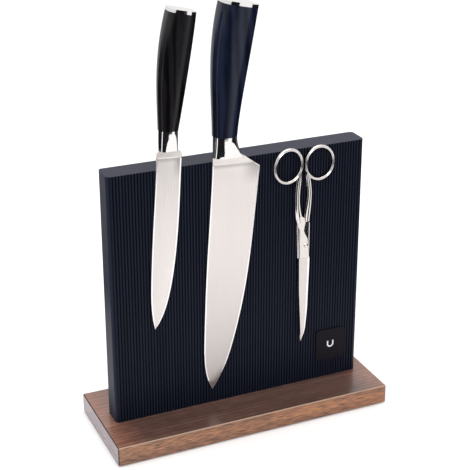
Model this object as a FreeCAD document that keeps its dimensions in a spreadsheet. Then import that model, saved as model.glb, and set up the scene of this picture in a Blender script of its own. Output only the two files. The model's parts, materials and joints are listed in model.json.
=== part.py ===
import FreeCAD, Part
import math
import os
import Sketcher

# Magnetic knife stand: walnut base, ribbed upright with magnets inside, chef's knife, utility knife and
# scissors held on its front. Millimetres. X to the right, the front faces -Y, Z up. The origin is under the
# middle of the stand, on the table.

V = FreeCAD.Vector

DIMENSIONS = [
    ("foot_drop", 0.8, "gap between the table and the base"),
    ("foot_radius", 8.0, "rubber foot"),
    ("foot_sink", 2.2, "how far a foot sits into the base"),
    ("foot_round", 0.5, "rounded lower rim of a foot"),
    ("foot_inset", 16.0, "foot centre in from the base's edges"),
    ("base_width", 252.0, "walnut base, left to right"),
    ("base_depth", 96.0, "walnut base, front to back"),
    ("base_height", 17.2, "walnut base, thickness"),
    ("base_chamfer", 0.8, "broken edges of the base"),
    ("board_width", 229.4, "upright, left to right"),
    ("board_depth", 22.0, "upright, over the rib crests"),
    ("board_height", 222.0, "upright, height above the base"),
    ("board_corner", 3.2, "rounded upright edges"),
    ("rib_pitch", 2.586, "one rib to the next"),
    ("rib_count", 87.0, "ribs on a face"),
    ("rib_depth", 0.7, "crest above valley"),
    ("rib_radius", 1.21, "rounding of a rib"),
    ("wall", 4.0, "shell side, top and bottom walls"),
    ("front_wall", 4.0, "shell front wall over the rib crests"),
    ("rear_panel_depth", 3.5, "rear panel over its rib crests"),
    ("gap", 0.1, "assembly clearance inside the upright"),
    ("magnet_width", 44.0, "block magnet, left to right"),
    ("magnet_height", 14.0, "block magnet, height"),
    ("magnet_depth", 6.0, "block magnet, front to back"),
    ("magnet_columns", 4.0, "magnets in a row"),
    ("magnet_rows", 3.0, "rows of magnets"),
    ("magnet_pitch", 50.0, "magnet to magnet along a row"),
    ("row_pitch", 65.0, "row to row"),
    ("first_row", 60.0, "lowest row above the base"),
    ("keeper_depth", 1.5, "steel keeper strip"),
    ("screw_pitch", 80.0, "base screw to base screw"),
    ("screw_radius", 2.45, "M5 shank"),
    ("screw_hole", 2.75, "clearance hole for M5"),
    ("screw_reach", 22.0, "shank length under the head"),
    ("head_radius", 4.5, "screw head"),
    ("head_height", 3.2, "screw head"),
    ("hex_radius", 1.73, "socket in the head, across corners / 2"),
    ("hex_depth", 1.8, "socket in the head"),
    ("washer_radius", 5.3, "washer"),
    ("washer_height", 1.0, "washer"),
    ("counterbore_radius", 5.6, "counterbore in the base"),
    ("counterbore_depth", 7.0, "counterbore in the base"),
    ("insert_radius", 3.5, "brass insert"),
    ("insert_bore", 2.5, "brass insert bore"),
    ("insert_height", 10.0, "brass insert"),
    ("insert_hole_depth", 12.0, "blind hole for an insert"),
    ("dowel_radius", 4.0, "locating dowel"),
    ("dowel_length", 20.0, "locating dowel"),
    ("dowel_sink", 9.0, "dowel length inside the base"),
    ("dowel_fit", 0.05, "radial fit of a dowel"),
    ("badge_width", 28.4, "badge plate"),
    ("badge_height", 29.6, "badge plate"),
    ("badge_depth", 0.8, "badge plate"),
    ("badge_corner", 2.5, "badge plate"),
    ("badge_x", 87.7, "badge centre, right of the middle"),
    ("badge_z", 32.5, "badge centre above the base"),
    ("sign_radius", 2.6, "middle radius of the magnet sign's bend"),
    ("sign_width", 1.3, "line width of the magnet sign"),
    ("sign_leg", 3.2, "straight leg of the magnet sign"),
    ("sign_depth", 0.3, "inlay depth of the magnet sign"),
    ("hang_gap", 0.3, "rib crest to what hangs on it"),
    ("chef_x", -25.5, "chef's knife, spine at the step"),
    ("chef_z", 226.0, "chef's knife, step above the base"),
    ("chef_tilt", 3.14, "chef's knife leans right, degrees"),
    ("chef_thick", 2.0, "chef's blade at the spine"),
    ("chef_bolster", 18.0, "bolster height"),
    ("chef_butt", 127.0, "handle end at the spine side"),
    ("chef_slant", 9.0, "slant of the handle end, degrees"),
    ("utility_x", -71.6, "utility knife, spine at the step"),
    ("utility_z", 238.5, "utility knife, step above the base"),
    ("utility_tilt", 3.7, "utility knife leans right, degrees"),
    ("utility_thick", 1.8, "utility blade at the spine"),
    ("utility_bolster", 17.0, "bolster height"),
    ("utility_butt", 112.0, "handle end at the spine side"),
    ("utility_slant", 9.0, "slant of the handle end, degrees"),
    ("cap_depth", 2.6, "steel end cap"),
    ("tang_radius", 2.5, "round tang"),
    ("tang_fit", 0.05, "radial fit of the tang"),
    ("tang_sink", 1.4, "how far the tang enters the end cap"),
    ("edge_thick", 0.3, "blade at its cutting edge"),
    ("scissor_x", 58.8, "scissor pivot, right of the middle"),
    ("scissor_z", 135.5, "scissor pivot above the base"),
    ("scissor_plate", 2.2, "rear half's plate"),
    ("scissor_front_plate", 1.9, "front half's plate"),
    ("scissor_gap", 0.2, "between the two halves"),
    ("left_ring_lean", 10.0, "front half's ring leans right, degrees"),
    ("right_ring_lean", -3.0, "rear half's ring leans right, degrees"),
    ("ring_wire", 1.45, "radius of the ring's wire"),
    ("left_ring_half_width", 12.35, "front half's ring, wire centre"),
    ("right_ring_half_width", 12.95, "rear half's ring, wire centre"),
    ("ring_half_height", 14.4, "both rings, wire centre"),
    ("pivot_radius", 1.4, "pivot rivet's shank"),
    ("pivot_fit", 0.05, "radial fit of the pivot"),
    ("pivot_head", 2.1, "pivot rivet's domed head"),
    ("pivot_head_height", 0.9, "pivot rivet's domed head"),
    ("pivot_proud", 0.1, "pivot shank past the front half"),
]

doc = FreeCAD.newDocument("knife_stand")
sheet = doc.addObject("Spreadsheet::Sheet", "Size")
for number, (alias, value, note) in enumerate(DIMENSIONS, start=1):
    sheet.set("A%d" % number, note)
    sheet.set("B%d" % number, "%g" % value)
    sheet.setAlias("B%d" % number, alias)
doc.recompute()
size = {alias: float(sheet.get(alias)) for alias, value, note in DIMENSIONS}

BASE_TOP = "Size.foot_drop + Size.base_height"
INSIDE_WIDTH = "(Size.board_width - 2 * Size.wall - 2 * Size.gap)"
INSIDE_HEIGHT = "(Size.board_height - 2 * Size.wall - 2 * Size.gap)"
INSIDE_LOW = BASE_TOP + " + Size.wall + Size.gap"
TINY = 0.001  # for comparing lengths
FAR = 400.0  # longer than any piece, for blocks that only cut
NODES = []


def bind(thing, **rules):
    """Ties properties to formulas; a double underscore in a name stands for a dot."""
    for name, formula in rules.items():
        thing.setExpression(name.replace("__", "."), formula)
    return thing


def place(thing, x="0", y="0", z="0"):
    return bind(thing, Placement__Base__x=x, Placement__Base__y=y, Placement__Base__z=z)


def node(thing, name):
    """Marks a document object as one finished piece."""
    thing.Label = name
    NODES.append(thing)
    return thing


def box(name, length, width, height, x, y, z):
    """A box centred on x and y that stands on z."""
    made = doc.addObject("Part::Box", name)
    bind(made, Length=length, Width=width, Height=height)
    return place(made, "%s - (%s) / 2" % (x, length), "%s - (%s) / 2" % (y, width), z)


def cylinder(name, radius, height, x, y, z):
    made = doc.addObject("Part::Cylinder", name)
    bind(made, Radius=radius, Height=height)
    return place(made, x, y, z)


def compound(name, pieces):
    made = doc.addObject("Part::Compound", name)
    made.Links = pieces
    return made


def cut(name, base, tools):
    made = doc.addObject("Part::Cut", name)
    made.Base = base
    made.Tool = compound(name + "_tools", tools)
    return made


def fuse(name, pieces):
    made = doc.addObject("Part::MultiFuse", name)
    made.Shapes = pieces
    return made


def feature(name, shape):
    made = doc.addObject("Part::Feature", name)
    made.Shape = shape
    return made


def sketch_on(body, role, name):
    """An empty sketch on one of the body's own planes."""
    made = body.newObject("Sketcher::SketchObject", name)
    made.AttachmentSupport = [(next(f for f in body.Origin.OriginFeatures if f.Role == role), "")]
    made.MapMode = "FlatFace"
    return made


def draw_box(sketch, width, height):
    """A rectangle centred on the sketch's origin, its two sizes tied to the sheet."""
    corners = [V(-5, -5, 0), V(5, -5, 0), V(5, 5, 0), V(-5, 5, 0)]
    for start, end in zip(corners, corners[1:] + corners[:1]):
        sketch.addGeometry(Part.LineSegment(start, end), False)
    for side in range(4):
        sketch.addConstraint(Sketcher.Constraint("Coincident", side, 2, (side + 1) % 4, 1))
    for side in (0, 2):
        sketch.addConstraint(Sketcher.Constraint("Horizontal", side))
        sketch.addConstraint(Sketcher.Constraint("Vertical", side + 1))
    sketch.addConstraint(Sketcher.Constraint("Symmetric", 0, 1, 1, 2, -1, 1))
    wide = sketch.addConstraint(Sketcher.Constraint("DistanceX", 0, 1, 0, 2, 10))
    sketch.renameConstraint(wide, "wide")
    high = sketch.addConstraint(Sketcher.Constraint("DistanceY", 1, 1, 1, 2, 10))
    sketch.renameConstraint(high, "high")
    sketch.setExpression("Constraints.wide", width)
    sketch.setExpression("Constraints.high", height)


def draw_circle(sketch, number, radius, x, y="0"):
    """A circle at (x, y) of the sketch, tied to the sheet."""
    shape = sketch.addGeometry(Part.Circle(V(number + 1, 1, 0), V(0, 0, 1), 1), False)
    marks = [
        ("radius", Sketcher.Constraint("Radius", shape, 1), radius),
        ("across", Sketcher.Constraint("DistanceX", -1, 1, shape, 3, number + 1), x),
        ("up", Sketcher.Constraint("DistanceY", -1, 1, shape, 3, 1), y),
    ]
    for word, constraint, formula in marks:
        name = "%s_%d" % (word, number)
        sketch.renameConstraint(sketch.addConstraint(constraint), name)
        sketch.setExpression("Constraints." + name, formula)


def add_ribs(body, side, count, height):
    """Round ribs across the front (-1) or back (1) face of the upright."""
    profile = sketch_on(body, "XY_Plane", "rib_profile")
    draw_circle(profile, 0, "Size.rib_radius", "0", "%d * (Size.board_depth / 2 - Size.rib_radius)" % side)
    bind(profile, AttachmentOffset__Base__x="-(%s - 1) * Size.rib_pitch / 2" % count)
    rib = body.newObject("PartDesign::Pad", "rib")
    rib.Profile = profile
    bind(rib, Length=height)
    pattern = body.newObject("PartDesign::LinearPattern", "all_ribs")
    pattern.Originals = [rib]
    pattern.Direction = (profile, ["H_Axis"])
    bind(pattern, Length="(%s - 1) * Size.rib_pitch" % count, Occurrences=count)
    body.Tip = pattern


def make_base():
    """Walnut plank with foot recesses, counterbored screw holes and dowel holes."""
    plank = box("plank", "Size.base_width", "Size.base_depth", "Size.base_height", "0", "0", "Size.foot_drop")
    eased = doc.addObject("Part::Chamfer", "eased_plank")
    eased.Base = plank
    eased.Edges = [(edge, size["base_chamfer"], size["base_chamfer"]) for edge in range(1, 13)]
    tools = []
    for x, y in foot_spots():
        tools.append(cylinder("foot_recess", "Size.foot_radius + Size.gap", "Size.foot_sink",
                              x, y, "Size.foot_drop"))
    for index in (-1, 0, 1):
        x = "%d * Size.screw_pitch" % index
        tools.append(cylinder("screw_hole", "Size.screw_hole", "Size.base_height", x, "0", "Size.foot_drop"))
        tools.append(cylinder("counterbore", "Size.counterbore_radius", "Size.counterbore_depth",
                              x, "0", "Size.foot_drop"))
    for side in (-1, 1):
        tools.append(cylinder("dowel_hole", "Size.dowel_radius + Size.dowel_fit",
                              "Size.dowel_sink + Size.gap", "%d * Size.screw_pitch / 2" % side, "0",
                              BASE_TOP + " - Size.dowel_sink - Size.gap"))
    node(cut("walnut_base", eased, tools), "base_board")


def foot_spots():
    for side in (-1, 1):
        for end in (-1, 1):
            yield ("%d * (Size.base_width / 2 - Size.foot_inset)" % side,
                   "%d * (Size.base_depth / 2 - Size.foot_inset)" % end)


def make_fixings():
    """Feet, screws, washers, inserts and dowels: each a set of identical separate pieces."""
    feet = []
    for x, y in foot_spots():
        pad = cylinder("foot_pad", "Size.foot_radius", "Size.foot_drop + Size.foot_sink", x, y, "0")
        soft = doc.addObject("Part::Fillet", "foot")
        soft.Base = pad
        soft.Edges = [(3, size["foot_round"], size["foot_round"])]
        feet.append(soft)
    node(compound("feet", feet), "rubber_feet")
    head_top = "Size.foot_drop + Size.counterbore_depth - Size.washer_height"
    screws, washers, inserts, dowels = [], [], [], []
    for index in (-1, 0, 1):
        x = "%d * Size.screw_pitch" % index
        shank = cylinder("shank", "Size.screw_radius", "Size.screw_reach", x, "0", head_top)
        head = cylinder("head", "Size.head_radius", "Size.head_height",
                        x, "0", head_top + " - Size.head_height")
        socket = doc.addObject("Part::Prism", "socket")
        socket.Polygon = 6
        bind(socket, Circumradius="Size.hex_radius", Height="Size.hex_depth")
        place(socket, x, "0", head_top + " - Size.head_height")
        screws.append(cut("screw", fuse("screw_blank", [shank, head]), [socket]))
        washer = cylinder("washer_disc", "Size.washer_radius", "Size.washer_height", x, "0", head_top)
        hole = cylinder("washer_hole", "Size.screw_hole", "Size.washer_height", x, "0", head_top)
        washers.append(cut("washer", washer, [hole]))
        sleeve = cylinder("sleeve", "Size.insert_radius", "Size.insert_height", x, "0", INSIDE_LOW)
        bore = cylinder("sleeve_bore", "Size.insert_bore", "Size.insert_height", x, "0", INSIDE_LOW)
        inserts.append(cut("insert", sleeve, [bore]))
    for side in (-1, 1):
        dowels.append(cylinder("dowel", "Size.dowel_radius", "Size.dowel_length",
                               "%d * Size.screw_pitch / 2" % side, "0", BASE_TOP + " - Size.dowel_sink"))
    node(compound("screws", screws), "base_screws")
    node(compound("washers", washers), "screw_washers")
    node(compound("inserts", inserts), "threaded_inserts")
    node(compound("dowels", dowels), "locating_dowels")


def make_front_shell():
    """Deep tray open at the back: ribbed front, plain top and sides, holes in its floor."""
    body = doc.addObject("PartDesign::Body", "shell")
    plan = sketch_on(body, "XY_Plane", "plan")
    draw_box(plan, "Size.board_width", "Size.board_depth - Size.rib_depth")
    bind(plan, AttachmentOffset__Base__y="Size.rib_depth / 2")
    block = body.newObject("PartDesign::Pad", "block")
    block.Profile = plan
    bind(block, Length="Size.board_height")
    doc.recompute()
    upright = ["Edge%d" % number for number, edge in enumerate(block.Shape.Edges, start=1)
               if abs(edge.BoundBox.ZLength - size["board_height"]) < TINY]
    rounded = body.newObject("PartDesign::Fillet", "rounded")
    rounded.Base = (block, upright)
    bind(rounded, Radius="Size.board_corner")
    add_ribs(body, -1, "Size.rib_count", "Size.board_height")
    opening = sketch_on(body, "XZ_Plane", "opening")
    draw_box(opening, "Size.board_width - 2 * Size.wall", "Size.board_height - 2 * Size.wall")
    bind(opening, AttachmentOffset__Base__y="Size.board_height / 2",
         AttachmentOffset__Base__z="-Size.board_depth / 2")
    hollow = body.newObject("PartDesign::Pocket", "hollow")
    hollow.Profile = opening
    hollow.Reversed = True
    bind(hollow, Length="Size.board_depth - Size.front_wall")
    holes = sketch_on(body, "XY_Plane", "floor_holes")
    for number in range(3):
        draw_circle(holes, number, "Size.screw_hole", "%d * Size.screw_pitch" % (number - 1))
    for side in (-1, 1):
        draw_circle(holes, 4 + side, "Size.dowel_radius + Size.dowel_fit", "%d * Size.screw_pitch / 2" % side)
    floor = body.newObject("PartDesign::Pocket", "floor_pocket")
    floor.Profile = holes
    floor.Reversed = True
    bind(floor, Length="Size.wall")
    body.Tip = floor
    place(node(body, "front_shell"), z=BASE_TOP)


def make_rear_panel():
    """Ribbed plate that closes the tray from behind."""
    body = doc.addObject("PartDesign::Body", "panel")
    plan = sketch_on(body, "XY_Plane", "plan")
    draw_box(plan, INSIDE_WIDTH, "Size.rear_panel_depth - Size.rib_depth")
    bind(plan,
         AttachmentOffset__Base__y="Size.board_depth / 2 - (Size.rear_panel_depth + Size.rib_depth) / 2")
    plate = body.newObject("PartDesign::Pad", "plate")
    plate.Profile = plan
    bind(plate, Length=INSIDE_HEIGHT)
    add_ribs(body, 1, "(Size.rib_count - 2)", INSIDE_HEIGHT)
    place(node(body, "rear_panel"), z=INSIDE_LOW)


def make_magnets():
    """Carrier block with a pocket for each magnet, the magnets, and a steel strip behind each row."""
    depth = "(Size.board_depth - Size.front_wall - Size.rear_panel_depth - 2 * Size.gap)"
    front = "(-Size.board_depth / 2 + Size.front_wall + Size.gap)"
    block = box("carrier_block", INSIDE_WIDTH, depth, INSIDE_HEIGHT, "0", "%s + %s / 2" % (front, depth),
                INSIDE_LOW)
    tools, magnets, keepers = [], [], []
    for row in range(int(size["magnet_rows"])):
        z = BASE_TOP + " + Size.first_row + %d * Size.row_pitch - Size.magnet_height / 2" % row
        strip = "((Size.magnet_columns - 1) * Size.magnet_pitch + Size.magnet_width)"
        reach = "(Size.magnet_depth + Size.keeper_depth + 2 * Size.gap)"
        tools.append(box("row_slot", strip + " + 2 * Size.gap", reach, "Size.magnet_height + 2 * Size.gap",
                         "0", "%s + %s / 2" % (front, reach), z + " - Size.gap"))
        keepers.append(box("keeper", strip, "Size.keeper_depth", "Size.magnet_height", "0",
                           front + " + Size.magnet_depth + Size.gap + Size.keeper_depth / 2", z))
        for column in range(int(size["magnet_columns"])):
            x = "(%d - (Size.magnet_columns - 1) / 2) * Size.magnet_pitch" % column
            magnets.append(box("magnet", "Size.magnet_width", "Size.magnet_depth", "Size.magnet_height",
                               x, front + " + Size.magnet_depth / 2", z))
    for index in (-1, 0, 1):
        tools.append(cylinder("insert_hole", "Size.insert_radius + Size.tang_fit", "Size.insert_hole_depth",
                              "%d * Size.screw_pitch" % index, "0", INSIDE_LOW))
    for side in (-1, 1):
        tools.append(cylinder("dowel_socket", "Size.dowel_radius + Size.dowel_fit",
                              "Size.dowel_length - Size.dowel_sink - Size.wall",
                              "%d * Size.screw_pitch / 2" % side, "0", INSIDE_LOW))
    node(cut("carrier", block, tools), "magnet_carrier")
    node(compound("magnet_blocks", magnets), "block_magnets")
    node(compound("keepers", keepers), "keeper_strips")


def make_badge():
    """Small plate on the ribs, with a horseshoe magnet sign let into its face."""
    plate = feature("badge_plate", Part.makeBox(
        size["badge_width"], size["badge_depth"], size["badge_height"],
        V(-size["badge_width"] / 2, -size["badge_depth"], -size["badge_height"] / 2)))
    corners = [edge for edge in plate.Shape.Edges
               if abs(edge.BoundBox.YLength - edge.Length) < TINY]
    plate.Shape = plate.Shape.makeFillet(size["badge_corner"], corners)
    outer = size["sign_radius"] + size["sign_width"] / 2
    inner = size["sign_radius"] - size["sign_width"] / 2
    front, deep = -size["badge_depth"], size["sign_depth"]
    bend = Part.makeCylinder(outer, deep, V(0, front + deep, 0), V(0, -1, 0))
    bend = bend.common(Part.makeBox(2 * outer, FAR, outer, V(-outer, -FAR / 2, -outer)))
    legs = Part.makeBox(2 * outer, deep, size["sign_leg"], V(-outer, front, 0))
    notch = Part.makeCylinder(inner, FAR, V(0, FAR / 2, 0), V(0, -1, 0))
    slot = Part.makeBox(2 * inner, FAR, FAR, V(-inner, -FAR / 2, 0))
    sign = bend.fuse(legs).cut(notch).cut(slot).removeSplitter()
    plate.Shape = plate.Shape.cut(sign)
    inlay = feature("badge_inlay", sign)
    for thing, name in ((plate, "badge"), (inlay, "badge_sign")):
        place(node(thing, name), "Size.badge_x", "-Size.board_depth / 2", BASE_TOP + " + Size.badge_z")


# Knife outlines, in a knife's own frame: X from spine to edge, Z up the handle, zero at the spine where the
# bolster steps down to the blade. A station is height, spine side, edge side, half thickness and how square
# the section is (2 is an ellipse). A facet is its place across, its distance from the middle plane at the
# step and at the given height, and how far it turns toward the edge in degrees. A shoulder is the width that
# the bolster covers, a corner beyond it, and how much lower the flat part ends at the spine than at the heel.
CHEF = {
    "spine": [(0, 0), (-0.8, -96), (0, -166), (1.4, -188), (5.6, -204), (9.8, -212)],
    "edge": [(42.5, -10.2), (39.9, -64), (34.9, -124), (27.7, -165), (18.9, -195), (9.8, -212)],
    "shoulder": (27.4, 38.5, -7.6, 0.5),
    "handle": [(18, -0.9, 19.7, 8.2, 2.4), (45, -2.8, 21.8, 8.9, 2.6), (75, -4.4, 25.4, 9.8, 2.9),
               (105, -3.3, 29.0, 10.5, 3.2), (140, 3.3, 33.2, 11.0, 3.4)],
    "bolster": [(0, 0, 27.0, 6.6, 2.4), (5, -0.3, 23.4, 7.4, 2.4), (11, -0.6, 20.8, 7.9, 2.4)],
    "facet": (12.7, 5.6, 8.15, 16.5, 7.6),
    "tang": 10.5,
}
UTILITY = {
    "spine": [(-1.5, -1.8), (-1.9, -60), (-1.9, -110), (-0.3, -139), (1.2, -148), (3.4, -156.3)],
    "edge": [(19.8, -3), (19.9, -57), (18.2, -97.5), (14.3, -127.8), (9.0, -146.2), (3.4, -156.3)],
    "shoulder": (17.0, 19.8, -2.6, 3.0),
    "handle": [(17, -0.9, 15.4, 7.0, 2.4), (40, -2.5, 18.4, 7.5, 2.6), (65, -3.2, 21.2, 8.2, 2.9),
               (90, -1.5, 23.6, 8.8, 3.2), (125, 5.4, 25.6, 9.2, 3.4)],
    "bolster": [(0, 0, 16.0, 5.6, 2.4), (5, -0.4, 15.7, 6.2, 2.4), (11, -0.7, 15.5, 6.7, 2.4)],
    "facet": (7.9, 4.7, 6.95, 15.5, 7.6),
    "tang": 8.0,
}
OVAL_POINTS = 32


def oval(station):
    """Closed rounded section of a handle at one height."""
    height, left, right, half, power = station
    middle, reach = (left + right) / 2, (right - left) / 2
    points = []
    for step in range(OVAL_POINTS):
        turn = 2 * math.pi * step / OVAL_POINTS
        across, deep = math.cos(turn), math.sin(turn)
        x = middle + reach * math.copysign(abs(across) ** (2 / power), across)
        y = half * math.copysign(abs(deep) ** (2 / power), deep)
        points.append(V(x, y, height))
    curve = Part.BSplineCurve()
    curve.interpolate(Points=points, PeriodicFlag=True)
    return Part.Wire([curve.toShape()])


def half_space(x, z, slant, up):
    """A big block above (or below) the plane through (x, z) that slants down toward the edge side."""
    block = Part.makeBox(2 * FAR, 2 * FAR, FAR, V(-FAR, -FAR, 0 if up else -FAR))
    block.rotate(V(0, 0, 0), V(0, 1, 0), slant)
    block.translate(V(x, 0, z))
    return block


def facet_block(facet, top):
    """Block that cuts a flat facet on the back of a bolster; the facet leans outward as it rises."""
    across, foot, head, height, turn = facet
    rise = (head - foot) / height
    ramp = [V(-FAR, foot - rise, -1), V(-FAR, FAR, -1), V(-FAR, FAR, top + 1),
            V(-FAR, foot + rise * (top + 1), top + 1)]
    block = Part.Face(Part.makePolygon(ramp + ramp[:1])).extrude(V(2 * FAR, 0, 0))
    block.rotate(V(across, 0, 0), V(0, 0, 1), -turn)
    return block


def bow(points, half, tip_half, side):
    """A smooth outline curve on one side of the blade, thinning toward the tip."""
    length = points[0][1] - points[-1][1]
    placed = []
    for x, z in points:
        part = (points[0][1] - z) / length
        taper = half + (tip_half - half) * part ** 4
        placed.append(V(x, side * taper, z))
    curve = Part.BSplineCurve()
    curve.interpolate(placed)
    return curve.toShape()


def blade(shape, thick, tang_top):
    """Wedge-ground blade with a flat shoulder under the bolster and a round tang."""
    tip_half = size["edge_thick"] / 2
    spine = [bow(shape["spine"], thick / 2, tip_half, side) for side in (-1, 1)]
    edge = [bow(shape["edge"], tip_half, tip_half, side) for side in (-1, 1)]
    faces = [Part.makeRuledSurface(spine[0], edge[0]), Part.makeRuledSurface(spine[1], edge[1]),
             Part.makeRuledSurface(spine[0], spine[1]), Part.makeRuledSurface(edge[0], edge[1])]
    ends = [curve.Vertexes[0].Point for curve in (spine[0], edge[0], edge[1], spine[1])]
    faces.append(Part.Face(Part.makePolygon(ends + ends[:1])))
    shell = Part.Shell(faces)
    shell.sewShape()
    ground = Part.Solid(shell)
    if ground.Volume < 0:
        ground.reverse()
    wide, corner, drop, ricasso = shape["shoulder"]
    left, top = shape["spine"][0]
    heel, heel_drop = shape["edge"][0]
    corners = [(left, top), (0, 0), (wide, 0), (corner, drop), (heel, heel_drop), (left, heel_drop - ricasso)]
    outline = [V(x, -thick / 2, z) for x, z in corners]
    shoulder = Part.Face(Part.makePolygon(outline + outline[:1])).extrude(V(0, thick, 0))
    tang = Part.makeCylinder(size["tang_radius"], tang_top, V(shape["tang"], 0, 0))
    return ground.fuse([shoulder, tang]).removeSplitter()


def knife(name, shape):
    """Blade, bolster, handle and end cap of one knife."""
    thick = size[name + "_thick"]
    low, butt, slant = size[name + "_bolster"], size[name + "_butt"], size[name + "_slant"]
    cap = size["cap_depth"]
    stock = Part.makeLoft([oval(station) for station in shape["handle"]], True, False)
    butt_x = shape["handle"][3][1]
    handle = stock.cut(half_space(butt_x, butt, slant, True))
    end_cap = stock.common(half_space(butt_x, butt, slant, True))
    cap_end = butt + cap / math.cos(math.radians(slant))
    end_cap = end_cap.common(half_space(butt_x, cap_end, slant, False))
    sections = [oval(station) for station in shape["bolster"] + shape["handle"][:1]]
    bolster = Part.makeLoft(sections, True, False)
    back_cut = facet_block(shape["facet"], low)
    bolster = bolster.cut(back_cut).cut(back_cut.mirror(V(0, 0, 0), V(0, 1, 0)))
    drop = (shape["tang"] - butt_x) * math.tan(math.radians(slant))
    tang_top = butt - drop + size["tang_sink"]
    bore = Part.makeCylinder(size["tang_radius"] + size["tang_fit"], tang_top + size["tang_fit"],
                             V(shape["tang"], 0, 0))
    pieces = {"blade": blade(shape, thick, tang_top), "bolster": bolster.cut(bore),
              "handle": handle.cut(bore), "end_cap": end_cap.cut(bore)}
    middle = "-Size.board_depth / 2 - Size.hang_gap - Size.%s_thick / 2" % name
    for word, solid in pieces.items():
        made = feature("%s_%s_shape" % (name, word), solid)
        lean = FreeCAD.Rotation(V(0, 1, 0), size[name + "_tilt"])
        made.Placement = FreeCAD.Placement(V(0, 0, 0), lean)
        made = node(made, "%s_%s" % (name, word))
        place(made, "Size.%s_x" % name, middle, BASE_TOP + " + Size.%s_z" % name)


# Scissors, in the frame of the pivot: X right, Z up. Each outline goes round once in runs; a run of two
# points is straight and a longer one is a smooth curve. The front half owns the left ring.
FRONT_HALF = [
    [(-2.1, -92.5), (-5.7, -11.6)],
    [(-5.7, -11.6), (-5.7, 14)],
    [(-5.7, 14), (-8.6, 22), (-10.2, 31), (-10.6, 44), (-10.2, 56), (-8.9, 66)],
    [(-8.9, 66), (-5.2, 66)],
    [(-5.2, 66), (-5.6, 56), (-6.3, 44), (-5.0, 31), (-3.0, 24.5)],
    [(-3.0, 24.5), (-1.7, 14)],
    [(-1.7, 14), (-0.6, 10.6), (1.9, 6), (2.4, 1.5)],
    [(2.4, 1.5), (4.2, -12.4)],
    [(4.2, -12.4), (3.5, -43.5), (1.6, -75.5), (-2.1, -92.5)],
]
REAR_HALF = [
    [(-2.6, -91.9), (-4.3, -59.5), (-5.3, -43.5), (-6.2, -12.4)],
    [(-6.2, -12.4), (-7.7, 18)],
    [(-7.7, 18), (-0.7, 24.6)],
    [(-0.7, 24.6), (0.6, 32), (1.4, 44), (0.6, 56), (-0.6, 66)],
    [(-0.6, 66), (3.0, 66)],
    [(3.0, 66), (4.9, 56), (6.1, 44), (5.8, 32), (4.9, 18)],
    [(4.9, 18), (4.6, -12.4)],
    [(4.6, -12.4), (-2.6, -91.9)],
]
LEFT_RING = (-17.5, 74.0)
RIGHT_RING = (12.7, 72.3)


def run_edge(run):
    """A straight line or a smooth curve through the points of one run."""
    points = [V(x, 0, z) for x, z in run]
    if len(points) == 2:
        return Part.makeLine(*points)
    curve = Part.BSplineCurve()
    curve.interpolate(points)
    return curve.toShape()


def scissor_half(outline, thick, ring):
    """Plate with its shank and a finger ring; its back face is at y = 0."""
    edge_line = Part.Wire([run_edge(run) for run in outline])
    plate = Part.Face(edge_line).extrude(V(0, -thick, 0))
    return plate.fuse(ring).removeSplitter()


def finger_ring(x, z, wide, lean):
    """Round wire bent to a leaning oval, swept as a left and a right half; its back is at y = 0."""
    tall, wire = size["ring_half_height"], size["ring_wire"]
    oval_line = Part.Ellipse(V(0, 0, 0), tall, wide)
    halves = []
    for start in (0, math.pi):
        path = Part.Wire([Part.ArcOfEllipse(oval_line, start, start + math.pi).toShape()])
        side = math.copysign(tall, math.cos(start))
        section = Part.Wire([Part.makeCircle(wire, V(side, 0, 0), V(0, 1, 0))])
        halves.append(path.makePipeShell([section], True, False))
    ring = halves[0].fuse(halves[1])
    ring.rotate(V(0, 0, 0), V(0, 0, 1), 90)
    ring.rotate(V(0, 0, 0), V(1, 0, 0), 90)
    ring.rotate(V(0, 0, 0), V(0, 1, 0), lean)
    ring.translate(V(x, -wire, z))
    return ring


def make_scissors():
    """Two halves and the domed rivet they turn on."""
    rear_thick, front_thick = size["scissor_plate"], size["scissor_front_plate"]
    left_ring = finger_ring(*LEFT_RING, size["left_ring_half_width"], size["left_ring_lean"])
    right_ring = finger_ring(*RIGHT_RING, size["right_ring_half_width"], size["right_ring_lean"])
    rear = scissor_half(REAR_HALF, rear_thick, right_ring)
    front = scissor_half(FRONT_HALF, front_thick, left_ring)
    front_back = rear_thick + size["scissor_gap"]
    front.translate(V(0, -front_back, 0))
    shank_length = front_back + front_thick + size["pivot_proud"]
    shank = Part.makeCylinder(size["pivot_radius"], shank_length, V(0, 0, 0), V(0, -1, 0))
    wide, high = size["pivot_head"], size["pivot_head_height"]
    round_radius = (wide ** 2 + high ** 2) / (2 * high)
    ball = Part.makeSphere(round_radius, V(0, round_radius - shank_length - high, 0))
    head = Part.makeCylinder(wide, high, V(0, -shank_length, 0), V(0, -1, 0)).common(ball)
    hole = Part.makeCylinder(size["pivot_radius"] + size["pivot_fit"], FAR, V(0, FAR / 2, 0), V(0, -1, 0))
    pieces = {"scissor_rear_half": rear.cut(hole), "scissor_front_half": front.cut(hole),
              "scissor_pivot": shank.fuse(head).removeSplitter()}
    for name, solid in pieces.items():
        made = feature(name + "_shape", solid)
        place(node(made, name), "Size.scissor_x", "-Size.board_depth / 2 - Size.hang_gap",
              BASE_TOP + " + Size.scissor_z")


def check_and_write():
    """Stops on any broken object, then writes one file for each piece."""
    doc.recompute()
    for thing in doc.Objects:
        if set(thing.State) & {"Invalid", "Error"}:
            raise RuntimeError("%s did not build: %s" % (thing.Label, thing.State))
    os.makedirs("parts", exist_ok=True)
    for thing in NODES:
        shape = thing.Shape
        if shape.isNull() or not shape.isValid() or not shape.Solids:
            raise RuntimeError("%s has no sound solid" % thing.Label)
        shape.exportStep("parts/%s.step" % thing.Label)
        print("%-20s %2d solid  %9.1f mm3" % (thing.Label, len(shape.Solids), shape.Volume), shape.BoundBox)


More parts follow.
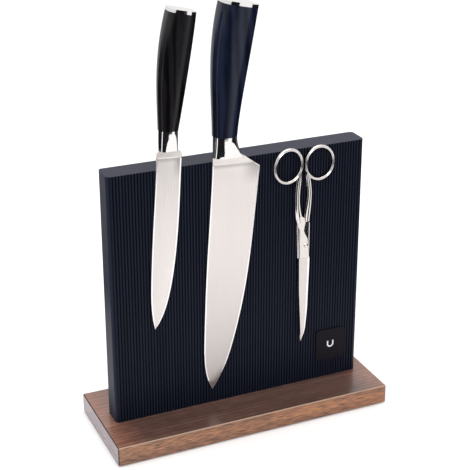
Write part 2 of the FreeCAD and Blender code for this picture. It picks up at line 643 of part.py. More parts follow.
make_base()
make_fixings()
make_front_shell()
make_rear_panel()
make_magnets()
make_badge()
knife("chef", CHEF)
knife("utility", UTILITY)
make_scissors()
check_and_write()
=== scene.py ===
import json
import math

import bmesh
import bpy
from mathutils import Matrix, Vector


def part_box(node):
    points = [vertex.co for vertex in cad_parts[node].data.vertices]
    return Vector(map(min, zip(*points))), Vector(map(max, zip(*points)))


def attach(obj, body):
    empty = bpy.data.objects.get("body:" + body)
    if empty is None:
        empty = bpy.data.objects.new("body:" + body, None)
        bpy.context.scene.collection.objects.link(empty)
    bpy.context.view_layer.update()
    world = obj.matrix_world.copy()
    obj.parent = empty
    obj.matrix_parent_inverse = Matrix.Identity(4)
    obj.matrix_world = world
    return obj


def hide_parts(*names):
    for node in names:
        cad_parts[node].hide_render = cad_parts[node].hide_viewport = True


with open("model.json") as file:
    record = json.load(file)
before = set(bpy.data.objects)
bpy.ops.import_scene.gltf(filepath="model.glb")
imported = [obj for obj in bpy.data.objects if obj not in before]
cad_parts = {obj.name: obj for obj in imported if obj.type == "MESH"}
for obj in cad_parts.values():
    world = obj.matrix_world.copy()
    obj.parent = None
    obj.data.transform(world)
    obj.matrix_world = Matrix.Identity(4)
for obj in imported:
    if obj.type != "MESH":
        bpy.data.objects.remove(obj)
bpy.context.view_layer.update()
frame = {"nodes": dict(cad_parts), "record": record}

MM = 0.001
base_low, base_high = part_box("base_board")
board_low, board_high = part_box("front_shell")


# ---------------------------------------------------------------- knife frames
# How far each knife leans to the right on the upright, as in the CAD.
LEAN = {"chef": math.radians(3.14), "utility": math.radians(3.7)}
STEP_HEIGHT = 0.3 * MM  # vertices this close to a bolster's lowest one belong to its step


class KnifeFrame:
    """A knife's own frame, read from its CAD blade and bolster: across toward the edge, up the handle."""

    def __init__(self, name):
        self.name = name
        self.lean = LEAN[name]
        self.up = Vector((math.sin(self.lean), 0, math.cos(self.lean)))
        self.across = Vector((math.cos(self.lean), 0, -math.sin(self.lean)))
        steps = [self.flat(v.co) for v in frame["nodes"][name + "_bolster"].data.vertices]
        low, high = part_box(name + "_blade")
        self.height = min(z for x, z in steps)
        self.left = min(x for x, z in steps if z < self.height + STEP_HEIGHT)
        self.middle = (low.y + high.y) / 2

    def flat(self, point):
        return point.dot(self.across), point.dot(self.up)

    def spot(self, across, deep, height):
        """Row-frame point from millimetres in the knife's frame; deep is toward the front."""
        side = self.across * (self.left + across * MM) + self.up * (self.height + height * MM)
        return side + Vector((0, self.middle - deep * MM, 0))


# ---------------------------------------------------------------- node helpers
class Shader:
    """A node material under construction."""

    def __init__(self, name):
        self.material = bpy.data.materials.new(name)
        self.material.use_nodes = True
        self.tree = self.material.node_tree
        self.surface = self.tree.nodes["Principled BSDF"]
        coordinates = self.tree.nodes.new("ShaderNodeTexCoord")
        self.place, self.facing = coordinates.outputs["Object"], coordinates.outputs["Normal"]

    def node(self, kind, links=None, **values):
        made = self.tree.nodes.new(kind)
        for name, value in values.items():
            setattr(made, name, value)
        for name, source in (links or {}).items():
            self.feed(made.inputs[name], source)
        return made

    def feed(self, socket, source):
        if isinstance(source, bpy.types.NodeSocket):
            self.tree.links.new(source, socket)
        else:
            socket.default_value = source

    def set(self, **values):
        for name, value in values.items():
            self.feed(self.surface.inputs[name.replace("_", " ")], value)
        return self

    def mapped(self, scale=(1, 1, 1), turn=(0, 0, 0), shift=(0, 0, 0)):
        made = self.node("ShaderNodeMapping", {"Vector": self.place, "Scale": scale, "Rotation": turn,
                                               "Location": shift})
        return made.outputs["Vector"]

    def noise(self, vector, scale, detail=4.0, rough=0.5, bend=0.0):
        made = self.node("ShaderNodeTexNoise", {"Vector": vector, "Scale": scale, "Detail": detail,
                                                "Roughness": rough, "Distortion": bend})
        return made.outputs["Fac"]

    def wave(self, vector, scale, bend, detail=3.0, direction="X"):
        made = self.node("ShaderNodeTexWave", {"Vector": vector, "Scale": scale, "Distortion": bend,
                                               "Detail": detail},
                         wave_type="BANDS", bands_direction=direction, wave_profile="SIN")
        return made.outputs["Fac"]

    def ramp(self, factor, stops):
        made = self.node("ShaderNodeValToRGB", {"Fac": factor})
        ramp = made.color_ramp
        while len(ramp.elements) < len(stops):
            ramp.elements.new(0.5)
        for element, (spot, colour) in zip(ramp.elements, stops):
            element.position = spot
            element.color = tuple(colour) + (1.0,)
        return made.outputs["Color"]

    def remap(self, value, low, high, to_low=0.0, to_high=1.0):
        made = self.node("ShaderNodeMapRange", {"Value": value, "From Min": low, "From Max": high,
                                                "To Min": to_low, "To Max": to_high})
        return made.outputs["Result"]

    def mix(self, factor, first, second, way="MIX"):
        made = self.node("ShaderNodeMix", data_type="RGBA", blend_type=way)
        colours = [socket for socket in made.inputs if socket.type == "RGBA"]
        self.feed(made.inputs[0], factor)
        for socket, colour in zip(colours, (first, second)):
            self.feed(socket, colour if isinstance(colour, bpy.types.NodeSocket) else tuple(colour) + (1.0,))
        return next(socket for socket in made.outputs if socket.type == "RGBA")

    def split(self, vector):
        made = self.node("ShaderNodeSeparateXYZ", {"Vector": vector})
        return [made.outputs[axis] for axis in "XYZ"]

    def join(self, x, y, z):
        return self.node("ShaderNodeCombineXYZ", {"X": x, "Y": y, "Z": z}).outputs["Vector"]

    def size(self, value):
        """The value without its sign."""
        return self.node("ShaderNodeMath", {0: value}, operation="ABSOLUTE").outputs["Value"]

    def times(self, first, *others):
        for other in others:
            made = self.tree.nodes.new("ShaderNodeMath")
            made.operation = "MULTIPLY"
            self.feed(made.inputs[0], first)
            self.feed(made.inputs[1], other)
            first = made.outputs["Value"]
        return first

    def hump(self, value, start, peak, end):
        """Rises from start to peak and falls again to end."""
        return self.times(self.remap(value, start, peak), self.remap(value, end, peak))

    def bump(self, height, depth, strength):
        made = self.node("ShaderNodeBump", {"Height": height, "Distance": depth, "Strength": strength})
        self.tree.links.new(made.outputs["Normal"], self.surface.inputs["Normal"])


BRUSHED_DEPTH = 0.01 * MM  # scratches of brushed metal
BOLSTER_PAINTED_LIGHT = 1.2  # how much brighter a blade face is painted near the bolster, as painted reflected light
# Upright: rib crests (painted highlight), valleys between them (painted shade), sides and top face.
NAVY = [(0.0095, 0.0125, 0.0250), (0.0008, 0.0010, 0.0022), (0.013, 0.016, 0.030), (0.030, 0.031, 0.046)]


def walnut(name):
    """Oiled walnut with a satin sheen: grain along X, end grain on the ends, on the top a dark middle between
    ends painted lighter as painted reflected light, dark broken edges at the ends and light ones along the
    front and back."""
    s = Shader(name)
    grain = s.noise(s.mapped((5, 95, 95)), 1.0, 9.0, 0.66, 0.5)
    rings = s.wave(s.mapped((1.1, 40, 70)), 1.7, 6.0, 4.0, "Y")
    pores = s.noise(s.mapped((60, 1700, 1700)), 1.0, 3.0, 0.6)
    strokes = s.noise(s.mapped((110, 1900, 1900), (0, 0.02, 0)), 1.0, 2.0, 0.5)
    tone = s.ramp(grain, [(0.26, (0.050, 0.022, 0.017)), (0.5, (0.100, 0.049, 0.036)),
                          (0.74, (0.165, 0.088, 0.066))])
    banded = s.mix(0.30, tone, s.ramp(rings, [(0.1, (0.062, 0.029, 0.022)), (0.9, (0.150, 0.080, 0.060))]))
    dots = s.ramp(pores, [(0.30, (0.48, 0.44, 0.42)), (0.42, (1, 1, 1))])
    long_grain = s.mix(0.8, banded, dots, "MULTIPLY")
    dashes = s.ramp(strokes, [(0.36, (0.20, 0.14, 0.10)), (0.48, (0.92, 0.90, 0.86)),
                              (0.66, (1.8, 1.85, 1.8))])
    across, deep, high = s.split(s.place)
    face_x, face_y, face_z = s.split(s.facing)
    on_top = s.remap(face_z, 0.4, 0.8)
    along_x = s.remap(across, base_low.x, base_high.x)
    front_tint = s.mix(along_x, (2.00, 1.62, 0.95), (2.35, 1.62, 0.62))
    # Painted light: the top is painted lighter toward both ends, standing in for the white surroundings
    # reflected there and the ends lying out of the board's shade.
    painted_end_light = s.remap(s.size(across), 0.78 * base_high.x, base_high.x)
    top_tint_painted_ends = s.mix(painted_end_light, (1.05, 1.12, 1.18), (2.4, 2.05, 1.8))
    long_grain = s.mix(s.remap(on_top, 0, 1, 0.9, 0.35), long_grain, dashes, "MULTIPLY")
    long_grain = s.mix(1.0, long_grain, s.mix(on_top, front_tint, top_tint_painted_ends), "MULTIPLY")
    speck = s.noise(s.mapped((300, 900, 900)), 1.0, 4.0, 0.7)
    curve = s.wave(s.mapped((1, 16, 34), shift=(0, 0, 0.9)), 2.2, 9.0, 4.0, "Z")
    end = s.ramp(s.mix(0.35, s.join(speck, speck, speck), s.join(curve, curve, curve)),
                 [(0.30, (0.070, 0.044, 0.048)), (0.62, (0.260, 0.185, 0.200))])
    sawn = s.size(face_x)
    colour = s.mix(s.remap(sawn, 0.6, 0.8), long_grain, end)
    dark_edge = s.hump(sawn, 0.60, 0.70, 0.80)
    light_edge = s.times(s.hump(s.size(face_y), 0.60, 0.70, 0.80), s.remap(face_z, 0.5, 0.6), 0.5)
    colour = s.mix(light_edge, colour, (0.55, 0.38, 0.26))
    colour = s.mix(dark_edge, colour, (0.006, 0.004, 0.005))
    satin = s.remap(grain, 0, 1, 0.24, 0.34)
    s.set(Base_Color=colour, Roughness=s.remap(dark_edge, 0, 1, satin, 0.9), Specular_IOR_Level=0.8,
          Coat_Weight=0.15, Coat_Roughness=0.16)
    s.bump(pores, 0.12 * MM, 0.4)
    return s.material


def ribbed_plastic(name, crest, valley, side, top):
    """Soft-touch navy plastic: rib crests painted lighter than the valleys, in streaks of rubbing, as painted
    highlight and the valleys as painted shade; a slate tone on the top face.
    """
    s = Shader(name)
    fleck = s.noise(s.mapped((1, 1, 1)), 900.0, 2.0)
    across, deep, high = s.split(s.place)
    # Painted light: the crests are painted lighter with streaky rubbing on them, standing in for their
    # highlight, and the valleys darker as painted shade.
    raised = s.remap(s.size(deep), board_high.y - 0.45 * MM, board_high.y - 0.02 * MM)
    streak = s.noise(s.mapped((350, 350, 6)), 1.0, 3.0)
    crest_rubbing_and_highlight = s.mix(streak, tuple(0.6 * c for c in crest), tuple(1.4 * c for c in crest))
    colour = s.mix(raised, valley, crest_rubbing_and_highlight)
    colour = s.mix(s.remap(s.size(across), board_high.x - 3 * MM, board_high.x - 1 * MM), colour, side)
    colour = s.mix(s.remap(high, board_high.z - 0.3 * MM, board_high.z - 0.1 * MM), colour, top)
    s.set(Base_Color=colour, Roughness=s.remap(fleck, 0, 1, 0.36, 0.46), Specular_IOR_Level=0.07)
    s.bump(fleck, 0.04 * MM, 0.4)
    return s.material


def soft_plastic(name, colour, rough=0.5, specular=0.2):
    """Matt plastic or rubber with a faint mottle."""
    s = Shader(name)
    fleck = s.noise(s.mapped((1, 1, 1)), 900.0, 2.0)
    cloud = s.noise(s.mapped((1, 1, 1)), 18.0, 3.0)
    deep = tuple(0.8 * c for c in colour)
    s.set(Base_Color=s.mix(cloud, deep, tuple(1.15 * c for c in colour)),
          Roughness=s.remap(fleck, 0, 1, rough - 0.06, rough + 0.06), Specular_IOR_Level=specular)
    s.bump(fleck, 0.04 * MM, 0.4)
    return s.material


def metal(name, colour, rough, grain=(1, 1, 1), grain_scale=400.0):
    """Metal with a fine grain, brushed where the grain's scale differs between axes."""
    s = Shader(name)
    brushed = s.noise(s.mapped(grain), grain_scale, 4.0, 0.6)
    s.set(Base_Color=s.mix(brushed, tuple(0.94 * c for c in colour), colour), Metallic=1.0,
          Roughness=s.remap(brushed, 0, 1, 0.85 * rough, 1.15 * rough))
    s.bump(brushed, BRUSHED_DEPTH, 0.6)
    return s.material


def ground_steel(name, colour, knife, wide, low):
    """Brushed blade face with etched ripples under the bolster and down the heel side, painted lighter near
    the bolster and darker toward the tip as painted reflection.

    Zones are millimetres below the bolster (down) and from spine to edge (across).
    """
    s = Shader(name)
    own = s.mapped(turn=(0, -knife.lean, 0), shift=(-knife.left, 0, -knife.height))
    across, deep, high = s.split(own)
    down = s.times(high, -1.0 / MM)
    across = s.times(across, 1.0 / MM)
    brushed = s.noise(s.mapped((900, 900, 25)), 1.0, 4.0, 0.6)
    cloud = s.noise(s.mapped((20, 20, 20)), 1.0, 2.0)
    slanted = s.wave(s.join(across, 0.0, s.times(down, 0.75)), 0.27, 2.0, 2.0, "DIAGONAL")
    strokes = s.remap(slanted, 0.35, 0.65)
    stroke_zone = s.hump(down, 5.4, 7.2, 10.5)
    heel_zone = s.times(s.hump(down, 5.0, 10.0, 26.0), s.remap(across, 0.62 * wide, 0.9 * wide))
    lines = s.wave(s.join(across, 0.0, s.times(down, 0.09)), 0.24, 1.6, 2.0, "X")
    line_zone = s.times(s.remap(down, 10.0, 16.0), s.remap(down, 95.0, 45.0),
                        s.remap(across, 0.0, 0.5 * wide, 0.35, 1.0))
    # Painted reflection: the face is painted brighter near the bolster and darker toward the tip (low),
    # standing in for the darker floor it reflects lower down.
    shade = s.mix(s.remap(down, 25.0, 190.0), tuple(BOLSTER_PAINTED_LIGHT * c for c in colour),
                  tuple(low * c for c in colour))
    shade = s.mix(s.times(brushed, 0.12), shade, (0.25, 0.22, 0.20))
    shade = s.mix(s.times(cloud, 0.10), shade, (0.95, 0.93, 0.92))
    shade = s.mix(s.times(lines, line_zone, 0.15), shade, (0.20, 0.18, 0.17))
    shade = s.mix(s.times(strokes, stroke_zone, 0.75), shade, (0.05, 0.05, 0.05))
    shade = s.mix(s.times(s.remap(lines, 0.0, 1.0, 0.55, 1.0), heel_zone, 0.62), shade, (0.07, 0.07, 0.07))
    shade = s.mix(s.remap(down, 5.2, 4.6), shade, tuple(min(1.0, 1.3 * c) for c in colour))
    s.set(Base_Color=shade, Metallic=1.0, Roughness=s.remap(brushed, 0, 1, 0.25, 0.34))
    s.bump(brushed, BRUSHED_DEPTH, 0.6)
    return s.material


def handle_wood(name, dark, light):
    """Resin-bonded wood: long dark figure under a smooth polish."""
    s = Shader(name)
    figure = s.wave(s.mapped((38, 38, 9)), 1.0, 9.0, 3.0, "X")
    pores = s.noise(s.mapped((700, 700, 14)), 1.0, 4.0, 0.6)
    blend = s.mix(0.45, s.join(figure, figure, figure), s.join(pores, pores, pores))
    s.set(Base_Color=s.ramp(blend, [(0.30, dark), (0.72, light)]), Roughness=s.remap(pores, 0, 1, 0.15, 0.24),
          Specular_IOR_Level=0.26)
    s.bump(pores, 0.03 * MM, 0.3)
    return s.material


def make_materials():
    """One material for each slot, and the finer ones of the rebuilt pieces."""
    return {
        "walnut": walnut("walnut"),
        "foot_rubber": soft_plastic("foot_rubber", (0.02, 0.02, 0.02), 0.7),
        "zinc_steel": metal("zinc_steel", (0.62, 0.62, 0.60), 0.35),
        "insert_brass": metal("insert_brass", (0.72, 0.52, 0.25), 0.3),
        "dowel_beech": walnut("dowel_beech"),
        "navy_shell": ribbed_plastic("navy_shell", *NAVY),
        "navy_panel": ribbed_plastic("navy_panel", *NAVY),
        "carrier_plastic": soft_plastic("carrier_plastic", (0.1, 0.1, 0.1), 0.6),
        "magnet_ferrite": soft_plastic("magnet_ferrite", (0.05, 0.05, 0.055), 0.5),
        "badge_black": soft_plastic("badge_black", (0.0065, 0.005, 0.0085), 0.5, 0.10),
        "badge_white": soft_plastic("badge_white", (0.75, 0.75, 0.75), 0.5),
        "blade_steel": metal("blade_steel", (0.675, 0.62, 0.595), 0.3, (600, 600, 30), 1.0),
        # The last number of each blade is the painted shade toward its tip.
        "chef_ground": ground_steel("chef_ground", (0.70, 0.645, 0.62), KnifeFrame("chef"), 42, 0.70),
        "utility_ground": ground_steel("utility_ground", (0.72, 0.672, 0.65), KnifeFrame("utility"), 20,
                                       0.90),
        "blade_polish": metal("blade_polish", (0.93, 0.91, 0.90), 0.14, (600, 600, 30), 1.0),
        "bolster_steel": metal("bolster_steel", (0.76, 0.74, 0.73), 0.06),
        "handle_navy": handle_wood("handle_navy", (0.0025, 0.004, 0.011), (0.0085, 0.0125, 0.029)),
        "handle_black": handle_wood("handle_black", (0.0014, 0.0014, 0.0026), (0.0075, 0.0062, 0.0075)),
        "scissor_plate": metal("scissor_plate", (0.66, 0.62, 0.60), 0.16),
        "scissor_blade": metal("scissor_blade", (0.64, 0.59, 0.57), 0.26, (900, 900, 60), 1.0),
        "scissor_bright": metal("scissor_bright", (0.72, 0.68, 0.66), 0.10),
    }


# ---------------------------------------------------------------- shape helpers
def piece(name, points, faces, material, body, stands_for=()):
    """A mesh piece in the row frame, riding on one of the CAD bodies."""
    mesh = bpy.data.meshes.new(name)
    mesh.from_pydata([tuple(point) for point in points], [], faces)
    mesh.validate()
    for polygon in mesh.polygons:
        polygon.use_smooth = True
    mesh.materials.append(materials[material])
    made = bpy.data.objects.new(name, mesh)
    bpy.context.scene.collection.objects.link(made)
    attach(made, body)
    if stands_for:
        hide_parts(*stands_for)
    return made


def soften(thing, width):
    """Rounds the edges of a piece."""
    bevel = thing.modifiers.new("round", "BEVEL")
    bevel.width = width
    bevel.segments = 3
    bevel.limit_method = "ANGLE"
    bevel.angle_limit = math.radians(25)
    bevel.harden_normals = True


FLOW_STEPS = 10  # points between two given ones on a smooth curve
ROD_SIDES = 36
GROOVE_WIDTH = 0.28  # of a rod's half width


def catmull_rom(a, b, c, d, t):
    """One coordinate of the curve from b to c."""
    square = (2 * a - 5 * b + 4 * c - d) * t * t
    cube = (3 * b - a - 3 * c + d) * t ** 3
    return 0.5 * (2 * b + (c - a) * t + square + cube)


def flow(points):
    """A smooth open curve through the points."""
    last = len(points) - 1
    out = []
    for span in range(last):
        near = [points[min(max(span + k, 0), last)] for k in (-1, 0, 1, 2)]
        for step in range(FLOW_STEPS):
            out.append(tuple(catmull_rom(*four, step / FLOW_STEPS) for four in zip(*near)))
    out.append(tuple(points[-1]))
    return out


def skin(rings, closed_ends=True):
    """Joins equal rings of points into one surface."""
    count = len(rings[0])
    points = [point for ring in rings for point in ring]
    faces = []
    for row in range(len(rings) - 1):
        for step in range(count):
            after = (step + 1) % count
            low, high = row * count, (row + 1) * count
            faces.append((low + step, low + after, high + after, high + step))
    if closed_ends:
        faces.append(tuple(range(count))[::-1])
        faces.append(tuple(range((len(rings) - 1) * count, len(rings) * count)))
    return points, faces


def level(curve, height):
    """Across value of a curve of (across, height) points at one height."""
    for (x0, z0), (x1, z1) in zip(curve, curve[1:]):
        if (z0 - height) * (z1 - height) <= 0 and z0 != z1:
            return x0 + (x1 - x0) * (height - z0) / (z1 - z0)
    return curve[0][0] if abs(curve[0][1] - height) < abs(curve[-1][1] - height) else curve[-1][0]


def rod(path, wide, deep, closed, groove, lead):
    """A rod with an oval section along a path of (x, y, z); wide lies in the XZ plane, deep along Y.

    A groove is cut along its front and back: its depth as a part of the rod's, and how far off the middle.
    """
    rings = []
    count = len(path)
    for index, (x, y, z) in enumerate(path):
        before = path[index - 1] if closed or index else path[0]
        after = path[(index + 1) % count] if closed or index < count - 1 else path[-1]
        along = Vector((after[0] - before[0], 0, after[2] - before[2])).normalized()
        across = Vector((along.z, 0, -along.x))
        part = index / (count if closed else count - 1)
        half_wide, half_deep = wide(part), deep(part)
        ring = []
        for side in range(ROD_SIDES):
            turn = 2 * math.pi * side / ROD_SIDES
            dip = 1 - groove * math.exp(-((math.cos(turn) - lead) / GROOVE_WIDTH) ** 2)
            ring.append(Vector((x, y, z)) + across * (half_wide * math.cos(turn))
                        + Vector((0, half_deep * dip * math.sin(turn), 0)))
        rings.append(ring)
    if closed:
        rings.append(rings[0])
    return skin(rings, not closed)


# ---------------------------------------------------------------- knives
def slice_ends(node_name, knife, heights):
    """Lowest and highest across value of a CAD node at each height, in the knife's millimetres."""
    mesh = frame["nodes"][node_name].data
    flats = [knife.flat(vertex.co) for vertex in mesh.vertices]
    flats = [((x - knife.left) / MM, (z - knife.height) / MM) for x, z in flats]
    ends = []
    for height in heights:
        met = []
        for edge in mesh.edges:
            (x0, z0), (x1, z1) = flats[edge.vertices[0]], flats[edge.vertices[1]]
            if (z0 - height) * (z1 - height) <= 0 and z0 != z1:
                met.append(x0 + (x1 - x0) * (height - z0) / (z1 - z0))
        ends.append((min(met), max(met)))
    return ends


RICASSO = 5.5  # flat part of a blade under its bolster
GRIND_START = 1.4  # how far the grind takes to reach its depth
FLAT_ROWS, FLAT_PITCH = 24, 0.6  # sections of a blade beside its bolster
GROUND_ROWS = 60  # sections from there to the tip, closer together near it
TRIM = 0.02  # first and last section lie this far inside the blade
POLISHED_SIDES = (0, 1, 4, 6, 9, 10)  # eased spine, band beside it and edge bevel, on both faces


def blade_heights(lowest):
    """Section heights in millimetres, zero at the bolster's step and falling to the tip."""
    heights = [-TRIM - FLAT_PITCH * step for step in range(FLAT_ROWS)]
    reach = lowest - heights[-1]
    heights += [heights[-1] + reach * math.sin(math.pi / 2 * step / GROUND_ROWS)
                for step in range(1, GROUND_ROWS + 1)]
    heights[-1] = lowest + TRIM
    return heights


def blade_profile(wide, half, ground):
    """Half section from spine to edge: (across, depth) with the eased spine, the grind and the edge bevel."""
    taper = min(1.0, wide / 9.0)
    bevel = min(1.1, 0.2 * wide)
    band = min(1.0, 0.12 * wide)
    full = half * (0.25 + 0.75 * taper)
    near_edge = 0.22 * ground + full * (1 - ground)
    return [(0, 0.8 * full), (0.2 * taper, full), (band, full * (1 - 0.01 * ground)),
            (0.5 * wide, full * (1 - 0.45 * ground)), (wide - bevel, near_edge),
            (wide, 0.05 + 0.9 * (1 - ground) * full)]


def make_blade(name, thick):
    """Ground blade in the outline of its CAD node."""
    knife = KnifeFrame(name)
    mesh = frame["nodes"][name + "_blade"].data
    lowest = min((knife.flat(vertex.co)[1] - knife.height) / MM for vertex in mesh.vertices)
    heights = blade_heights(lowest)
    rings = []
    for height, (left, right) in zip(heights, slice_ends(name + "_blade", knife, heights)):
        wide = max(right - left, TRIM)
        ground = min(max((-height - RICASSO) / GRIND_START, 0), 1)
        profile = blade_profile(wide, thick / 2, ground)
        front = [knife.spot(left + across, deep, height) for across, deep in profile]
        back = [knife.spot(left + across, -deep, height) for across, deep in reversed(profile)]
        rings.append(front + back)
    points, faces = skin(rings)
    made = piece(name + "_blade_ground", points, faces, name + "_ground", name + "_knife", [name + "_blade"])
    made.data.materials.append(materials["blade_polish"])
    below = next(row for row, height in enumerate(heights) if -height > RICASSO + GRIND_START)
    for number, face in enumerate(made.data.polygons):
        row, side = divmod(number, len(rings[0]))
        if below <= row < len(rings) - 1 and side in POLISHED_SIDES:
            face.material_index = 1
    made.data.set_sharp_from_angle(angle=math.radians(7))


def make_blades():
    make_blade("chef", 2.0)
    make_blade("utility", 1.8)


# ---------------------------------------------------------------- scissors
# Shapes are millimetres from the pivot: x to the right, z up. A shank station is x, z, half width, half depth
# and how far its middle lies in front of its half's back face.
LEFT_RING = {"wide": 12.35, "tall": 14.4, "lean": math.radians(10)}
RIGHT_RING = {"wide": 12.95, "tall": 14.4, "lean": math.radians(-3)}
RING_WIRE, RING_FACE = 1.45, 1.32  # half depth and half width of a ring's wire
REAR_THICK, FRONT_THICK, HALF_GAP = 2.2, 1.9, 0.2
TIP = -92.5
PLATE_END = -12.4
HEAD_RADIUS = 2.05
BLADE_ROWS = 48
RIDGE_SIDES = (2, 3)  # of a scissor blade's section: the narrow faces beside its back
FRONT_PLATE = [(-9.0, 26), (-8.8, 22), (-6.9, 18), (-5.7, 14), (-5.7, -11.6), (3.7, PLATE_END), (3.0, -4),
               (2.4, 1.5), (1.9, 6), (-0.6, 10.6), (-1.7, 13.6), (-1.3, 17), (-0.4, 21), (-1.2, 25),
               (-4.4, 27.6)]
REAR_TOP = [(-7.7, 18), (-0.7, 24.6), (4.3, 20.4), (5.0, 18)]
REAR_ACROSS = [(-7.5, 1.5), (-6.9, 1.5), (-5.6, 2.2), (-0.8, 2.2), (4.2, 1.22), (5.0, 1.2)]
FRONT_BACK = [(4.0, PLATE_END), (4.0, -19.5), (3.3, -43.5), (2.9, -59.5), (1.6, -75.5), (0.5, -83.5),
              (-2.1, TIP)]
FRONT_EDGE = [(-5.6, -11.6), (-5.0, -43.5), (-4.1, -59.5), (-3.2, -75.5), (-2.3, TIP)]
REAR_BACK = [(-5.7, PLATE_END), (-5.5, -19.5), (-4.7, -43.5), (-3.8, -59.5), (-2.8, -75.5), (-1.6, TIP + 0.8)]
REAR_EDGE = [(3.8, PLATE_END), (2.9, -43.5), (1.4, -70), (-1.3, TIP + 0.8)]
FRONT_SHANK = [(-6.3, 70, 0.8, 0.9, RING_WIRE), (-6.8, 67, 1.4, 1.3, RING_WIRE),
               (-7.2, 63.5, 2.0, 1.45, RING_WIRE), (-7.9, 56.5, 2.35, 1.4, RING_WIRE),
               (-8.5, 48, 2.2, 1.35, RING_WIRE), (-8.4, 40, 2.2, 1.3, RING_WIRE), (-7.6, 32, 2.7, 1.25, 1.25),
               (-6.2, 25, 3.2, 1.05, 1.05), (-4.4, 17, 2.8, 0.9, 0.95)]
REAR_SHANK = [(0.1, 70, 0.8, 0.9, RING_WIRE), (0.7, 67, 1.4, 1.3, RING_WIRE),
              (1.5, 63.5, 2.0, 1.45, RING_WIRE), (2.8, 56.5, 2.2, 1.4, RING_WIRE),
              (3.7, 48, 2.3, 1.35, RING_WIRE), (3.6, 40, 2.4, 1.3, RING_WIRE), (2.9, 32, 2.8, 1.2, 1.3),
              (2.3, 26, 2.9, 1.15, 1.2), (2.2, 20.6, 2.6, 1.1, 1.1)]


class ScissorFrame:
    """The pivot's frame, read from the CAD pivot and the two halves."""

    def __init__(self):
        low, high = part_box("scissor_pivot")
        self.x, self.z = (low.x + high.x) / 2, (low.z + high.z) / 2
        self.back = high.y
        self.head = low.y
        self.front_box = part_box("scissor_front_half")
        self.rear_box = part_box("scissor_rear_half")

    def spot(self, x, y, z):
        """Row-frame point; x and z in millimetres from the pivot, y in metres."""
        return Vector((self.x + x * MM, y, self.z + z * MM))


def front_plate(scissor, back, front):
    """Flat plate of the front half, with rounded edges."""
    count = len(FRONT_PLATE)
    points = [scissor.spot(x, depth, z) for depth in (back, front) for x, z in FRONT_PLATE]
    faces = [tuple(range(count)), tuple(range(2 * count - 1, count - 1, -1))]
    faces += [(a, (a + 1) % count, (a + 1) % count + count, a + count) for a in range(count)]
    made = piece("scissor_front_plate", points, faces, "scissor_plate", "scissor_lever")
    fix_normals(made)
    soften(made, 0.4 * MM)
    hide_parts("scissor_front_half")


def fix_normals(thing):
    """Turns every face outward."""
    work = bmesh.new()
    work.from_mesh(thing.data)
    bmesh.ops.recalc_face_normals(work, faces=work.faces)
    work.to_mesh(thing.data)
    work.free()


def scissor_blade(name, scissor, back_line, edge_line, rear, front, body):
    """Blade with a ground face, a ridge beside its back and a thin edge."""
    smooth_back = flow(back_line)
    rings = []
    top = max(back_line[0][1], edge_line[0][1])
    deep = rear - front
    for step in range(BLADE_ROWS + 1):
        height = top + (back_line[-1][1] - top) * math.sin(math.pi / 2 * step / BLADE_ROWS)
        spine, edge = level(smooth_back, height), level(edge_line, height)
        wide = spine - edge
        ridge = spine - math.copysign(min(1.7, 0.22 * abs(wide)), wide)
        thin = min(1.0, abs(wide) / 4)
        profile = [(edge, 0), (edge, -0.55 * deep * thin), (ridge, -deep * thin),
                   (spine - 0.1 * (spine - ridge), -0.97 * deep * thin), (spine, -0.7 * deep * thin),
                   (spine, 0)]
        rings.append([scissor.spot(x, rear + depth, height) for x, depth in profile])
    points, faces = skin(rings)
    made = piece(name, points, faces, "scissor_blade", body)
    made.data.materials.append(materials["blade_polish"])
    for number, face in enumerate(made.data.polygons):
        if number < BLADE_ROWS * len(rings[0]) and number % len(rings[0]) in RIDGE_SIDES:
            face.material_index = 1
    fix_normals(made)
    made.data.set_sharp_from_angle(angle=math.radians(5))


def ring_points(box, ring, depth):
    """Centre line of a finger ring, placed by its half's CAD box."""
    low, high = box
    outer = RING_WIRE * MM
    lean = ring["lean"]
    count = 72
    line = []
    for step in range(count):
        turn = 2 * math.pi * step / count
        x, z = ring["wide"] * MM * math.cos(turn), ring["tall"] * MM * math.sin(turn)
        line.append((x * math.cos(lean) + z * math.sin(lean), z * math.cos(lean) - x * math.sin(lean)))
    reach_x = max(x for x, z in line) + outer
    reach_z = max(z for x, z in line) + outer
    centre_x = low.x + reach_x if ring is LEFT_RING else high.x - reach_x
    centre_z = high.z - reach_z
    return [(centre_x + x, depth, centre_z + z) for x, z in line]


def handle_half(name, scissor, box, ring, shank, back, body):
    """Finger ring and the grooved shank that runs down from it."""
    line = ring_points(box, ring, back - RING_WIRE * MM)
    points, faces = rod(line, lambda part: RING_FACE * MM, lambda part: RING_WIRE * MM, True, 0.5, 0.0)
    fix_normals(piece(name + "_ring", points, faces, "scissor_bright", body))
    xs, zs, widths, depths, middles = zip(*shank)
    path = [tuple(scissor.spot(x, y, z)) for x, y, z in
            flow([(x, back - middle * MM, z) for x, z, middle in zip(xs, zs, middles)])]
    points, faces = rod(path, along(widths), along(depths), False, 0.45, -0.35)
    fix_normals(piece(name + "_shank", points, faces, "scissor_bright", body))


def rear_plate(scissor, back):
    """Plate of the rear half: its front falls away toward both sides."""
    rings = []
    for x, thick in REAR_ACROSS:
        top = level([(z, across) for across, z in REAR_TOP], x)
        inward = 0.5 * max(0, -5 - x)
        section = [(0, PLATE_END, inward), (thick, PLATE_END, inward), (thick, top, 0), (0, top, 0)]
        rings.append([scissor.spot(x + inset, back - depth * MM, z) for depth, z, inset in section])
    points, faces = skin(rings)
    made = piece("scissor_rear_plate", points, faces, "scissor_plate", "scissors", ["scissor_rear_half"])
    fix_normals(made)
    made.data.set_sharp_from_angle(angle=math.radians(8))
    soften(made, 0.2 * MM)


